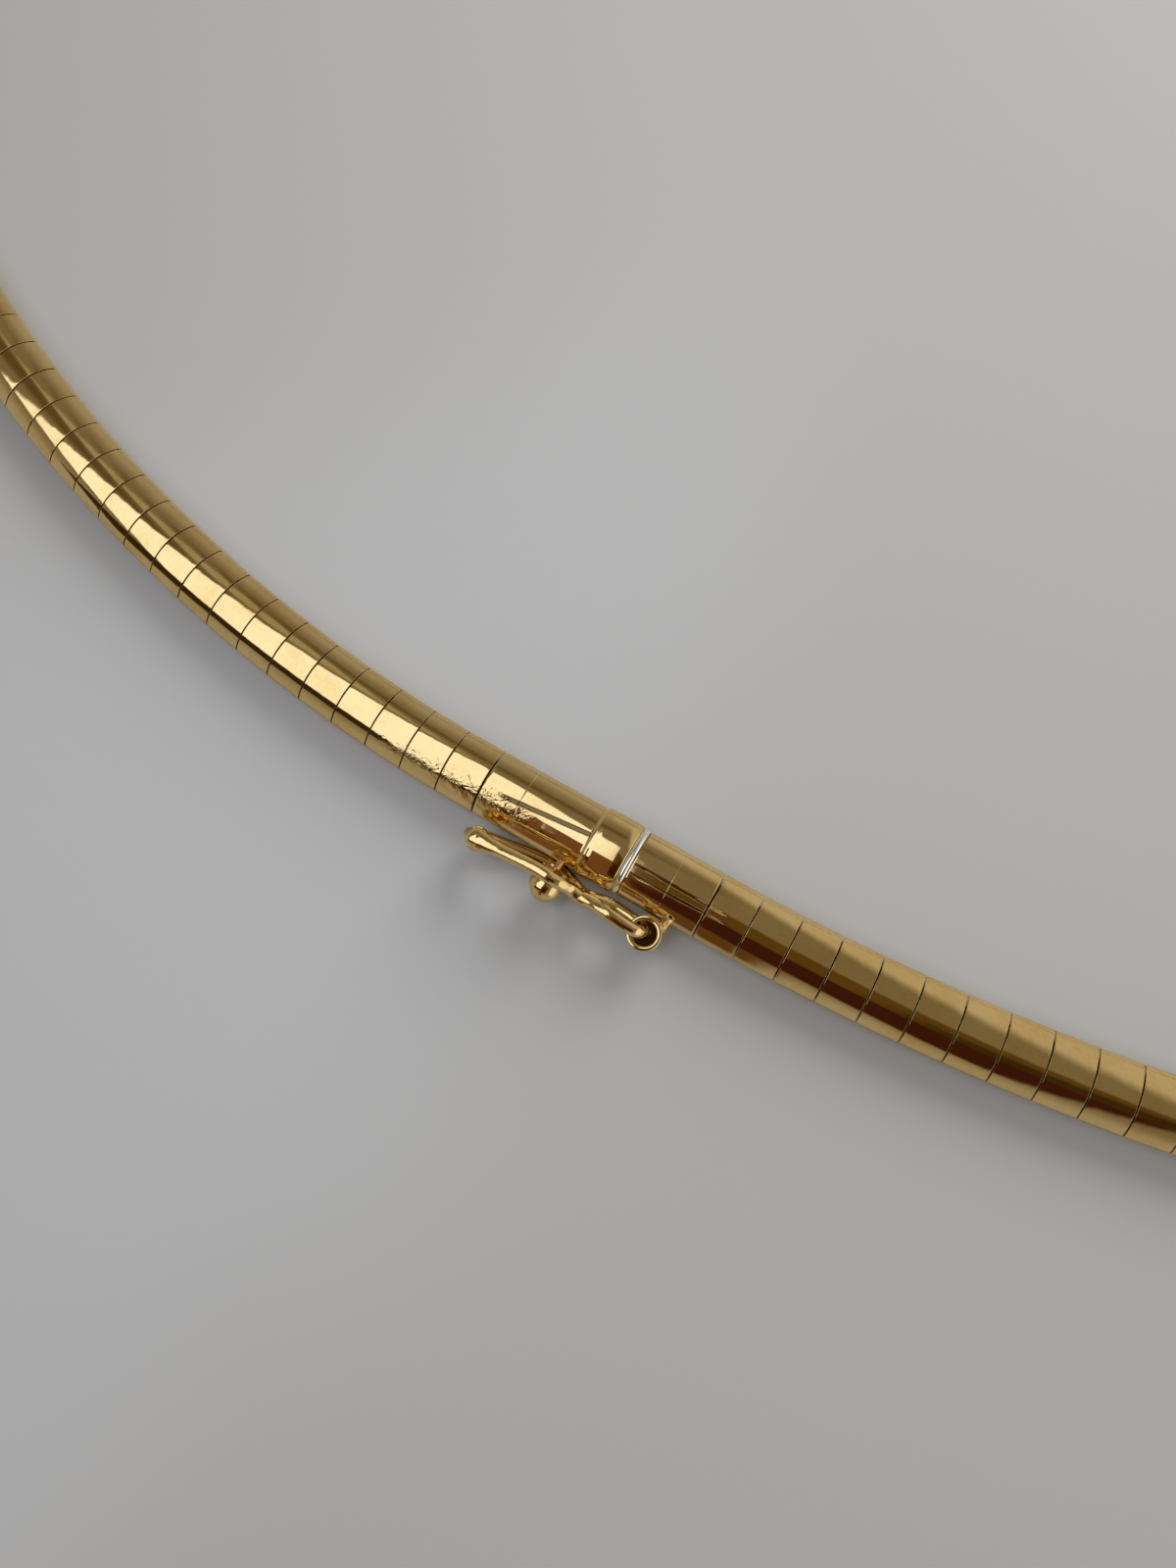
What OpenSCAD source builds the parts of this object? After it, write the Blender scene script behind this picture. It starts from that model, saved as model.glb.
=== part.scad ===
// Omega necklace: polished domed plates on a flat core, closed by a box clasp with a safety catch.
// Millimetres. +Z is up, the table is z = 0, and the clasp lies along X on the -Y side of the loop.
// The box half of the clasp is on the -X side and the end cap on the +X side.

/* [Loop] */
// Distance from the clasp's centreline to the centreline at the front of the loop
loop_depth = 108; // [100:1:120]
// Radius of the chain beside the box
box_back_r = 101; // [90:1:120]
// Angle that the chain turns through on that radius
box_back_turn = 26; // [20:1:30]
// Radius of the chain beside the end cap
cap_back_r = 147; // [130:1:160]
// Angle that the chain turns through on that radius
cap_back_turn = 12; // [8:1:16]
// Angle of the front arc, on each side of the middle
front_turn = 60; // [50:1:70]

/* [Chain] */
// Width of the chain
chain_w = 4; // [3.6:0.1:5]
// Height above the table where the side is upright
side_level = 0.95; // [0.9:0.05:1.1]
// Rise of the crown above that level
crown_rise = 1.2; // [1.1:0.05:1.4]
// Radius where the side turns over into the crown
side_r = 0.6; // [0.5:0.05:0.7]
// Radius where the side turns under into the flat foot
foot_r = 0.7; // [0.6:0.05:0.85]
// Thickness of the plates' sheet
sheet = 0.28; // [0.2:0.01:0.32]
// Length of chain that one plate takes up
plate_pitch = 2.43; // [2.2:0.01:2.8]
// Gap between two plates
plate_gap = 0.12; // [0.1:0.01:0.2]
// Slot left open under each plate, where its sheet has been bent round
slot_w = 1; // [0.6:0.1:1.4]
// Clearance between the plates and the core
core_clear = 0.1; // [0.1:0.01:0.2]

/* [Box] */
// Half of the straight length that the clasp takes up between the two half chains
clasp_half = 7.2; // [7:0.1:8]
// Place along X of the collar's outer face, which is the box's mouth
mouth_x = 1.95; // [1.7:0.05:2.2]
// Length of the raised collar
collar_len = 2.3; // [2:0.1:2.6]
// Height of the collar above the box
collar_proud = 0.1; // [0.08:0.01:0.2]
// Thickness of the box's wall
box_wall = 0.35; // [0.3:0.01:0.4]
// Thickness of the bulkhead between the core's pocket and the tongue's chamber
bulkhead = 0.4; // [0.3:0.05:0.6]
// Depth of the pocket that the core ends in
pocket_deep = 2; // [1.6:0.1:2.2]
// Depth and width of the fine line where a plate is soldered to the clasp
solder_line = 0.06; // [0.04:0.01:0.08]

/* [End cap] */
// Gap between the end cap and the first plate
cap_gap = 0.2; // [0.12:0.02:0.3]
// Gap between the tongue's end plate and the end cap
cap_clear = 0.09; // [0.06:0.01:0.14]

/* [Tongue] */
// Thickness of the end plate
end_plate = 0.33; // [0.26:0.01:0.4]
// Gap between the end plate and the collar
mouth_clear = 0.04; // [0.03:0.01:0.08]
// How proud of the chain the end plate's rim stands
end_plate_proud = 0.07; // [0.02:0.01:0.1]
// Thickness of the spring sheet
leaf = 0.22; // [0.18:0.01:0.25]
// Width of the spring sheet
leaf_w = 2.5; // [2.2:0.1:2.6]
// Height of the lower leaf's underside
leaf_z = 0.45; // [0.42:0.01:0.5]
// Gap between the two leaves at the mouth
leaf_open = 0.42; // [0.3:0.02:0.46]
// Gap between the two leaves at the fold
leaf_fold = 0.1; // [0.08:0.01:0.16]
// Reach of the tongue into the box
tongue_reach = 5.6; // [5:0.1:5.8]
// Reach of the tongue's root into the end cap
root_reach = 1.2; // [0.8:0.1:1.6]
// Clearance round the root in its slot
root_clear = 0.05; // [0.04:0.01:0.08]

/* [Ball stud] */
// Diameter of the ball
ball_d = 2; // [1.8:0.1:2.1]
// Place of the ball along X
ball_x = -1.25; // [-1.45:0.05:-1]
// Distance of the ball's centre from the chain's centreline
ball_y = 3.45; // [3.35:0.05:3.55]
// Diameter of the stud behind the ball
stud_d = 0.5; // [0.4:0.05:0.7]
// Height of the stud's root on the side of the box
stud_z = 1; // [0.95:0.05:1.1]

/* [Catch ring] */
// Bore of the ring
ring_bore = 1.46; // [1.4:0.02:1.6]
// Wall of the ring
ring_wall = 0.25; // [0.2:0.01:0.3]
// Height of the ring
ring_h = 0.6; // [0.5:0.05:0.7]
// Place of the ring along X
ring_x = 4.82; // [4.7:0.02:4.9]
// Distance of the ring's centre from the chain's centreline
ring_y = 3.1; // [3.05:0.01:3.2]
// Diameter of the lug that is soldered to the end cap
lug_d = 0.56; // [0.5:0.02:0.6]
// Height of the lug's root on the side of the end cap
lug_z = 1.2; // [1.1:0.05:1.3]

/* [Safety catch] */
// Diameter of the wire
wire_d = 0.62; // [0.56:0.02:0.72]
// Distance of the catch's waist from the chain's centreline
catch_y = 3; // [2.98:0.01:3.1]
// Lean of the big loop away from the chain
lean = 11.5; // [8:0.5:12]
// Lean of the small loop away from the chain
ring_lean = 17; // [10:1:20]
// How far the wire in the ring sits towards the box
hang = 0.21; // [0.12:0.01:0.24]
// Clearance between the catch and the ball, ring and table
catch_clear = 0.05; // [0.04:0.01:0.08]
// Extra height of the small loop round the ring
ring_room = 0.2; // [0.16:0.02:0.26]
// Radius of the wire's bends at the two ends
end_bend = 0.6; // [0.5:0.05:0.65]
// Place of the waist along X
waist_x = 0.8; // [0.7:0.05:1]
// Place along X of the middle of the wire at the far end
tip_x = -6.45; // [-6.6:0.05:-6]
// How far the big loop bows towards the box
bow = 0.39; // [0.2:0.01:0.4]
// How far the small loop bows towards the end cap
ring_bow = 0.16; // [0.06:0.02:0.2]
// How far the far end is flared away from the box
flare = 0.02; // [0.02:0.02:0.16]
// Diameter of the bead at the far end
bead_d = 1.2; // [0.9:0.05:1.3]
// Diameter of the solder knot at the waist
knot_d = 0.8; // [0.7:0.02:1]

/* [Hidden] */
$fn = 64;
gold = "goldenrod";
pale_gold = "khaki";
white_metal = "lightgray";
tiny = 0.01;

// Chain section: a crown arc and two side arcs that run into it, on rounded feet
half_w = chain_w / 2;
crown_r = (pow(half_w - side_r, 2) + pow(crown_rise, 2) - pow(side_r, 2)) / (2 * (crown_rise - side_r));
crown_z = side_level + crown_rise - crown_r;
chain_h = side_level + crown_rise;
core_half = half_w - foot_r;
core_low = sheet + core_clear;
core_top = crown_z + sqrt(pow(crown_r - sheet - core_clear, 2) - pow(core_half, 2));

// Half loops: a row for each of the back, side and front arcs, holding its radius and its turn in
// degrees. The side and front radii close the loop at the front, on the middle line, at loop_depth.
side_turn = 180 - front_turn;
function closing(back_r, back_turn) =
    let (share = sin(side_turn) / (sin(side_turn) - sin(back_turn)),
         taken = (clasp_half + back_r * sin(back_turn)) / (sin(side_turn) - sin(back_turn)),
         drop = cos(back_turn) - cos(side_turn),
         front_r = (loop_depth - back_r * (1 - cos(back_turn)) + taken * drop)
             / (share * drop + 1 + cos(side_turn)))
    [share * front_r - taken, front_r];
function half_loop(back_r, back_turn) =
    let (radii = closing(back_r, back_turn))
    [[back_r, back_turn], [radii[0], side_turn - back_turn], [radii[1], front_turn]];
box_loop = half_loop(box_back_r, box_back_turn);
cap_loop = half_loop(cap_back_r, cap_back_turn);

// Length, heading and centre of what lies before arc n of a half loop that starts at the clasp
function arc_len(row) = row[0] * row[1] * PI / 180;
function start_s(rows, n) = n == 0 ? 0 : start_s(rows, n - 1) + arc_len(rows[n - 1]);
function start_turn(rows, n) = n == 0 ? 0 : start_turn(rows, n - 1) + rows[n - 1][1];
function centre(rows, n) = n == 0 ? [clasp_half, rows[0][0]]
    : let (turned = start_turn(rows, n))
      centre(rows, n - 1) + (rows[n - 1][0] - rows[n][0]) * [sin(turned), -cos(turned)];
function arc_at(rows, s, n = 0) =
    n == len(rows) - 1 || s < start_s(rows, n + 1) ? n : arc_at(rows, s, n + 1);
function half_len(rows) = start_s(rows, len(rows));
function plate_count(rows) = round(half_len(rows) / plate_pitch);
function backwards(list) = [for (i = [len(list) - 1 : -1 : 0]) list[i]];

// Points of a half loop from the clasp to the front, one for each plate, moved outwards
function half_edge(rows, out) =
    [for (i = [0 : plate_count(rows)])
        let (s = half_len(rows) * i / plate_count(rows), n = arc_at(rows, s),
             turned = start_turn(rows, n) + (s - start_s(rows, n)) / rows[n][0] * 180 / PI)
        centre(rows, n) + (rows[n][0] + out) * [sin(turned), -cos(turned)]];

// The loop reaches furthest out along X where it has turned 90 degrees, in its side arc
function reach_x(rows) = centre(rows, 1)[0] + rows[1][0] + half_w;
out_y = max(ring_y + ring_bore / 2 + ring_wall, ball_y + ball_d / 2);
middle = [(reach_x(cap_loop) - reach_x(box_loop)) / 2, (loop_depth + half_w - out_y) / 2];

// Clasp places along X
box_end_x = plate_gap / 2 - clasp_half;
box_line_x = box_end_x + plate_pitch - plate_gap;
collar_x = mouth_x - collar_len;
end_plate_x = mouth_x + mouth_clear;
cap_x = end_plate_x + end_plate + cap_clear;
cap_end_x = clasp_half + plate_gap / 2 - cap_gap;
cap_line_x = cap_end_x - plate_pitch + plate_gap;

// Safety catch: the height of its long axis, and half the height of each part round that axis
wire_r = wire_d / 2;
big_half = ball_d / 2 + wire_r + catch_clear;
small_half = ring_h / 2 + wire_r + ring_room;
waist_half = wire_r + tiny;
catch_z = big_half + wire_r + catch_clear;
pivot_x = ring_x - hang;
wire_sides = 12;
bead_sides = 24;
bend_steps = 5;

// Chain outline, drawn inset by the given amount
module section(inset) {
    edge = (crown_r - inset) * (half_w - side_r) / (crown_r - side_r);
    intersection() {
        translate([0, crown_z]) circle(crown_r - inset);
        translate([-edge, side_level]) square([2 * edge, crown_rise + 1]);
    }
    for (side = [-1, 1]) {
        translate([side * (half_w - side_r), side_level]) circle(side_r - inset);
        translate([side * (half_w - foot_r), foot_r]) circle(foot_r - inset);
    }
    translate([inset - half_w, foot_r]) square([chain_w - 2 * inset, side_level - foot_r]);
    translate([foot_r - half_w, inset]) square([chain_w - 2 * foot_r, side_level - inset]);
}

module sleeve() {
    difference() {
        section(0);
        section(sheet);
        translate([-slot_w / 2, -sheet]) square([slot_w, 3 * sheet]);
    }
}

// Draws a section along X from one place to another
module along_x(from_x, to_x) {
    translate([from_x, 0, 0]) rotate([90, 0, 90]) linear_extrude(to_x - from_x) children();
}

// Draws a section along arc n of a half loop, between two lengths measured from the clasp
module along_arc(rows, n, from_s, to_s) {
    radius = rows[n][0];
    at = centre(rows, n);
    turned = start_turn(rows, n) + (from_s - start_s(rows, n)) / radius * 180 / PI;
    translate([at[0], at[1], 0]) rotate([0, 0, turned - 90])
        rotate_extrude(angle = (to_s - from_s) / radius * 180 / PI)
            translate([radius, 0]) children();
}

module half_plates(rows) {
    count = plate_count(rows);
    pitch = half_len(rows) / count;
    for (i = [0 : count - 1]) {
        from_s = i * pitch + plate_gap / 2;
        along_arc(rows, arc_at(rows, (i + 0.5) * pitch), from_s, from_s + pitch - plate_gap) sleeve();
    }
}

// Turns the clasp's own frame into the part's frame, with the origin under the middle of the loop
module placed() {
    translate([-middle[0], -middle[1], 0]) children();
}

module plates_left() {
    color(gold) placed() mirror([1, 0, 0]) half_plates(box_loop);
}

module plates_right() {
    color(gold) placed() half_plates(cap_loop);
}

// One edge of the core in plan, from its end in the box round the front to its end in the end cap
function core_edge(out) =
    let (cap_edge = half_edge(cap_loop, out))
    concat(
        [[box_end_x + pocket_deep - core_clear, -out]],
        [for (at = half_edge(box_loop, out)) [-at[0], at[1]]],
        [for (i = [len(cap_edge) - 2 : -1 : 0]) cap_edge[i]],
        [[cap_end_x - pocket_deep + core_clear, -out]]);

// As wide as the plates' flat foot, and as thick as their inside leaves room for
module core() {
    color(pale_gold) placed() translate([0, 0, core_low]) linear_extrude(core_top - core_low)
        polygon(concat(core_edge(core_half), backwards(core_edge(-core_half))));
}

// A plate soldered to the clasp, with the fine solder line between them
module soldered(plate_x, line_x, far_x) {
    along_x(min(plate_x, far_x), max(plate_x, far_x)) section(solder_line);
    along_x(min(plate_x, line_x), max(plate_x, line_x)) section(0);
    away = far_x > line_x ? solder_line : -solder_line;
    along_x(min(line_x + away, far_x), max(line_x + away, far_x)) section(0);
}

// Pillowed collar: each row holds where a slice starts and ends, as shares of the collar's length,
// and how proud it stands, as a share of the full height
collar_slices = [[0, 0.06, 0.4], [0.06, 0.16, 0.8], [0.16, 0.84, 1], [0.84, 0.94, 0.8], [0.94, 1, 0.4]];

module collar() {
    intersection() {
        for (slice = collar_slices)
            along_x(collar_x + collar_len * slice[0], collar_x + collar_len * slice[1])
                section(-collar_proud * slice[2]);
        translate([collar_x, -chain_w, 0]) cube([collar_len, 2 * chain_w, 2 * chain_h]);
    }
}

// Round rod between two points that have the same place along X
module rod(from, to, d) {
    along = to - from;
    translate(from) rotate([-atan2(along[1], along[2]), 0, 0]) cylinder(d = d, h = norm(along));
}

module clasp_box() {
    color(gold) placed() difference() {
        union() {
            soldered(box_end_x, box_line_x, mouth_x);
            collar();
            translate([ball_x, -ball_y, catch_z]) sphere(ball_d / 2);
            rod([ball_x, -ball_y, catch_z], [ball_x, box_wall - half_w, stud_z], stud_d);
        }
        along_x(box_end_x - 1, box_end_x + pocket_deep) section(sheet);
        along_x(box_end_x + pocket_deep + bulkhead, mouth_x + 1) section(box_wall);
    }
}

module clasp_end() {
    color(gold) placed() difference() {
        union() {
            soldered(cap_end_x, cap_line_x, cap_x);
            translate([ring_x, -ring_y, catch_z - ring_h / 2])
                cylinder(d = ring_bore + 2 * ring_wall, h = ring_h);
            rod([ring_x + ring_bore / 2, ring_bore / 2 - ring_y, catch_z],
                [ring_x + ring_bore / 2, sheet - half_w, lug_z], lug_d);
        }
        translate([ring_x, -ring_y, 0]) cylinder(d = ring_bore, h = 2 * catch_z);
        along_x(cap_end_x - pocket_deep, cap_end_x + 1) section(sheet);
        translate([cap_x - 1, -leaf_w / 2 - root_clear, leaf_z - root_clear])
            cube([1 + root_reach + root_clear, leaf_w + 2 * root_clear, leaf + 2 * root_clear]);
    }
}

// Folded spring seen from the side: root, lower leaf, fold and upper leaf
module spring_side() {
    fold_x = end_plate_x - tongue_reach;
    low_z = leaf_z + leaf;
    polygon([
        [cap_x + root_reach, leaf_z], [cap_x + root_reach, low_z], [fold_x + leaf, low_z],
        [fold_x + leaf, low_z + leaf_fold], [end_plate_x, low_z + leaf_open],
        [end_plate_x, low_z + leaf_open + leaf], [fold_x, low_z + leaf_fold + leaf], [fold_x, leaf_z]
    ]);
}

module tongue() {
    color(white_metal) placed() {
        translate([0, leaf_w / 2, 0]) rotate([90, 0, 0]) linear_extrude(leaf_w) spring_side();
        intersection() {
            along_x(end_plate_x, end_plate_x + end_plate) section(-end_plate_proud);
            translate([end_plate_x, -chain_w, 0]) cube([end_plate, 2 * chain_w, 2 * chain_h]);
        }
    }
}

// Wire route: each row holds a bend's radius and its turn in degrees, and a radius of 0 is a straight
// whose length stands in the place of the turn
function swell(rise, run) =
    let (turn = 2 * atan(rise / run), radius = run / sin(turn) / 2)
    [[radius, turn], [radius, -turn]];
function closing_bend(rise, run, straight) =
    let (turn = 2 * atan((rise - end_bend - straight) / (run - end_bend)))
    [[end_bend + (run - end_bend) / sin(turn), -turn],
     [end_bend, turn - 90],
     if (straight > 0) [0, straight]];
function step(at, row, part) =
    row[0] == 0 ? [at[0] + row[1] * part * cos(at[2]), at[1] + row[1] * part * sin(at[2]), at[2]]
    : let (way = sign(row[1]), end = at[2] + row[1] * part)
      [at[0] + way * row[0] * (sin(end) - sin(at[2])), at[1] - way * row[0] * (cos(end) - cos(at[2])), end];
function route(at, rows, n = 0) =
    n == len(rows) ? []
    : let (steps = rows[n][0] == 0 ? 1 : bend_steps)
      concat([for (i = [0 : steps - 1]) step(at, rows[n], i / steps)],
             route(step(at, rows[n], 1), rows, n + 1));

// Upper half of the catch, from the waist out to each end, as [x, height, heading]
ring_run = (pivot_x - waist_x) / 2;
ring_rail = route([waist_x, waist_half, 0], concat(
    swell(small_half - waist_half, ring_run),
    closing_bend(small_half, ring_run, (small_half - end_bend) / 2)));
ball_rail = route([-waist_x, waist_half, 0], concat(
    swell(big_half - waist_half, waist_x - ball_x),
    closing_bend(big_half, ball_x - tip_x, 0)));
upper_rail = concat([for (at = backwards(ball_rail)) [-at[0], at[1], -at[2]]],
    [for (i = [1 : len(ring_rail) - 1]) ring_rail[i]]);
catch_route = concat([[tip_x, 0, 90]], upper_rail, [[pivot_x, 0, -90]],
    [for (at = backwards(upper_rail)) [at[0], -at[1], 180 - at[2]]]);

// In plan each loop is bowed, most of all a little way from the waist, and leans by its own angle
function bowed(amount, share) = amount * sin(180 * share * (1.6 - 0.6 * share));
function plan_y(x, height) = x > waist_x
    ? bowed(ring_bow, (x - waist_x) / (pivot_x - waist_x)) - height * tan(ring_lean)
    : let (share = (waist_x - x) / (waist_x - tip_x))
      bowed(bow, share) - flare * pow(share, 3) - height * tan(lean);

module catch_wire() {
    rings = len(catch_route);
    points = [for (at = catch_route) for (k = [0 : wire_sides - 1])
        let (turn = 360 * k / wire_sides, off = wire_r * cos(turn))
        [at[0] - off * sin(at[2]), plan_y(at[0], at[1]) + wire_r * sin(turn), at[1] + off * cos(at[2])]];
    faces = [for (i = [0 : rings - 1]) for (k = [0 : wire_sides - 1])
        let (next = (i + 1) % rings, side = (k + 1) % wire_sides)
        each [[i * wire_sides + k, i * wire_sides + side, next * wire_sides + side],
              [i * wire_sides + k, next * wire_sides + side, next * wire_sides + k]]];
    polyhedron(points, faces, convexity = 6);
}

module safety_catch() {
    bead_x = tip_x + end_bend;
    color(gold) placed() translate([0, -catch_y, catch_z]) {
        catch_wire();
        translate([waist_x, 0, 0]) sphere(knot_d / 2, $fn = bead_sides);
        translate([bead_x, plan_y(bead_x, end_bend), end_bend]) sphere(bead_d / 2, $fn = bead_sides);
    }
}

plates_left();
plates_right();
core();
clasp_box();
clasp_end();
tongue();
safety_catch();
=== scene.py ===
import math
import random

import bmesh
import bpy
from mathutils import Matrix, Vector


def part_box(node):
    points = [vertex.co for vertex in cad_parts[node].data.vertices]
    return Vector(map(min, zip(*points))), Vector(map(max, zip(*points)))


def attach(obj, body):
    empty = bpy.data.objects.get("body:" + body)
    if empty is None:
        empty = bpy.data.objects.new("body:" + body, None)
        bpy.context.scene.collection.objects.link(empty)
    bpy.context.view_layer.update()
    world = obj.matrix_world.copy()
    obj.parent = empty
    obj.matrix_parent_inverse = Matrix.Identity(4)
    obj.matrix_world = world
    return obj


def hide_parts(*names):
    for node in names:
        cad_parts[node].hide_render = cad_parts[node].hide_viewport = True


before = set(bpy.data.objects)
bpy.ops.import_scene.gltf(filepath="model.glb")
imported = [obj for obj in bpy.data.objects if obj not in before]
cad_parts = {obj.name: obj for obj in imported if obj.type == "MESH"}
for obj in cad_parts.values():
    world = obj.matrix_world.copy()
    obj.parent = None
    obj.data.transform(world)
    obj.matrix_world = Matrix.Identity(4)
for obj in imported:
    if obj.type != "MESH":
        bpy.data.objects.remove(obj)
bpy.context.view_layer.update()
print("frame loaded:", sorted(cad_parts))

# Everything below is drawn in millimetres in the clasp's own frame: x along the clasp from the box
# to the end cap, y into the loop, z up from the table. One matrix then takes it to the frame.
mm = 0.001
clasp = {
    "foldX": -3.61,  # where the tongue's fold lies along x, which fixes the frame on the tongue
    "halfLength": 7.2,
    "mouthX": 1.95,
    "boxEndX": -7.14,
    "boxLineX": -4.8,
    "collarX": -0.35,
    "capX": 2.41,
    "capEndX": 7.12,
    "capLineX": 4.78,
}
tongueLow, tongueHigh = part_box("tongue")
claspMiddle = Vector((tongueLow.x - clasp["foldX"] * mm, (tongueLow.y + tongueHigh.y) / 2, 0))
toFrame = Matrix.Translation(claspMiddle) @ Matrix.Scale(mm, 4)

touching = 0.0001  # points nearer than this count as one

section = {
    "width": 4.0,
    "sideLevel": 0.95,
    "crownRise": 1.2,
    "sideRadius": 0.6,
    "footRadius": 0.7,
    "sheet": 0.28,
    "crownSteps": 18,
    "sideSteps": 6,
    "footSteps": 5,
    "easedEdge": ((0, 1), (0.3, 0.3), (1, 0), (3, 0)),  # along and inset, as shares of the easing
    "solderSeam": ((-3, 0), (-1, 0), (0, 0.5), (1, 0), (3, 0)),  # the same, as shares of its width
}
halfWidth = section["width"] / 2
shoulder = halfWidth - section["sideRadius"]
crownRadius = (shoulder ** 2 + section["crownRise"] ** 2 - section["sideRadius"] ** 2) \
    / (2 * (section["crownRise"] - section["sideRadius"]))
crownCentre = section["sideLevel"] + section["crownRise"] - crownRadius
crownAngle = math.degrees(math.asin(shoulder / (crownRadius - section["sideRadius"])))


# One socket of a node tree. Sums on it add their own nodes, and make() adds any other node.
class Feed:
    def __init__(self, tree, socket=None):
        self.tree = tree
        self.socket = socket

    def plug(self, target, value):
        if isinstance(value, Feed):
            self.tree.links.new(value.socket, target)
        else:
            target.default_value = value

    def make(self, kind, settings=None, sockets=None, out=0):
        node = self.tree.nodes.new(kind)
        for name, value in (settings or {}).items():
            setattr(node, name, value)
        for name, value in (sockets or {}).items():
            self.plug(node.inputs[name], value)
        return Feed(self.tree, node.outputs[out])

    def maths(self, operation, *others):
        return self.make("ShaderNodeMath", {"operation": operation}, dict(enumerate((self, *others))))

    def __add__(self, other):
        return self.maths("ADD", other)

    def __sub__(self, other):
        return self.maths("SUBTRACT", other)

    def __mul__(self, other):
        return self.maths("MULTIPLY", other)

    def __truediv__(self, other):
        return self.maths("DIVIDE", other)

    __radd__ = __add__
    __rmul__ = __mul__

    def __rsub__(self, other):
        return self.make("ShaderNodeMath", {"operation": "SUBTRACT"}, {0: other, 1: self})

    def ramp(self, low, high, start=0.0, end=1.0):  # a soft step from start to end between low and high
        return self.make("ShaderNodeMapRange", {"interpolation_type": "SMOOTHSTEP"}, {
            "Value": self, "From Min": low, "From Max": high, "To Min": start, "To Max": end})

    def split(self):  # the three numbers of a vector
        node = self.make("ShaderNodeSeparateXYZ", sockets={0: self})
        return [Feed(self.tree, socket) for socket in node.socket.node.outputs]

    def stretch(self, scale, place=(0, 0, 0), turn=(0, 0, 0)):
        return self.make("ShaderNodeMapping", sockets={
            "Vector": self, "Location": place, "Rotation": turn, "Scale": scale})

    def noise(self, scale, detail=2.0, roughness=0.5, distortion=0.0):
        return self.make("ShaderNodeTexNoise", sockets={
            "Vector": self, "Scale": scale, "Detail": detail, "Roughness": roughness,
            "Distortion": distortion})

    def tint(self, start, end):  # this value mixes two colours
        return self.make("ShaderNodeMix", {"data_type": "RGBA"}, {0: self, 6: start, 7: end}, out=2)


def colour(red, green, blue):
    return (red, green, blue, 1.0)


# Meshes

def traceSection(mesh, x, inset, slot=0.0):
    # The chain's outline at x, drawn inset, from the right of the slot under it round to the left
    foot = section["footRadius"]
    tip = mesh.verts.new((x, slot / 2, inset))
    edges = []

    def straight(y, z):
        nonlocal tip
        grown = bmesh.ops.extrude_vert_indiv(mesh, verts=[tip])
        edges.extend(grown["edges"])
        tip = grown["verts"][0]
        tip.co = (x, y, z)

    def arc(y, z, degrees, steps):
        nonlocal tip
        before = set(mesh.edges)
        turned = bmesh.ops.spin(
            mesh, geom=[tip], cent=(x, y, z), axis=(1, 0, 0), angle=math.radians(degrees),
            steps=steps, use_merge=False, use_duplicate=False)
        edges.extend(edge for edge in mesh.edges if edge not in before)
        tip = [item for item in turned["geom_last"] if isinstance(item, bmesh.types.BMVert)][0]

    straight(halfWidth - foot, inset)
    arc(halfWidth - foot, foot, 90, section["footSteps"])
    straight(halfWidth - inset, section["sideLevel"])
    arc(shoulder, section["sideLevel"], 90 - crownAngle, section["sideSteps"])
    arc(0, crownCentre, 2 * crownAngle, section["crownSteps"])
    arc(-shoulder, section["sideLevel"], 90 - crownAngle, section["sideSteps"])
    straight(inset - halfWidth, foot)
    arc(foot - halfWidth, foot, 90, section["footSteps"])
    straight(-slot / 2, inset)
    return edges


def loftSections(mesh, rows):
    # Closed outlines at each row's place and inset, bridged in turn, with both ends filled
    loops = []
    for x, inset in rows:
        loop = traceSection(mesh, x, inset)
        verts = dict.fromkeys(vert for edge in loop for vert in edge.verts)
        bmesh.ops.remove_doubles(mesh, verts=list(verts), dist=touching)
        loops.append([edge for edge in loop if edge.is_valid])
    for first, second in zip(loops, loops[1:]):
        bmesh.ops.bridge_loops(mesh, edges=first + second)
    for end in (loops[0], loops[-1]):
        bmesh.ops.edgeloop_fill(mesh, edges=end)


def shareRows(shares, x, size, way=1):
    # Rows of place and inset, worked out from shares of a size, from x on in the way given
    return [(x + way * along * size, inset * size) for along, inset in shares][::way]


def finishPiece(mesh, name, body, node, material):
    bmesh.ops.recalc_face_normals(mesh, faces=mesh.faces)
    bmesh.ops.transform(mesh, matrix=toFrame, verts=mesh.verts)
    data = bpy.data.meshes.new(name)
    for face in mesh.faces:
        face.smooth = True
    mesh.to_mesh(data)
    mesh.free()
    data.materials.append(material)
    piece = bpy.data.objects.new(name, data)
    bpy.context.scene.collection.objects.link(piece)
    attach(piece, body)
    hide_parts(node)
    print("made", name, "with", len(data.polygons), "faces")


# Metals. A noise is given by its scale, detail, roughness and distortion, and a cover by the two
# values of a noise between which a mark sets in.

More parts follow.
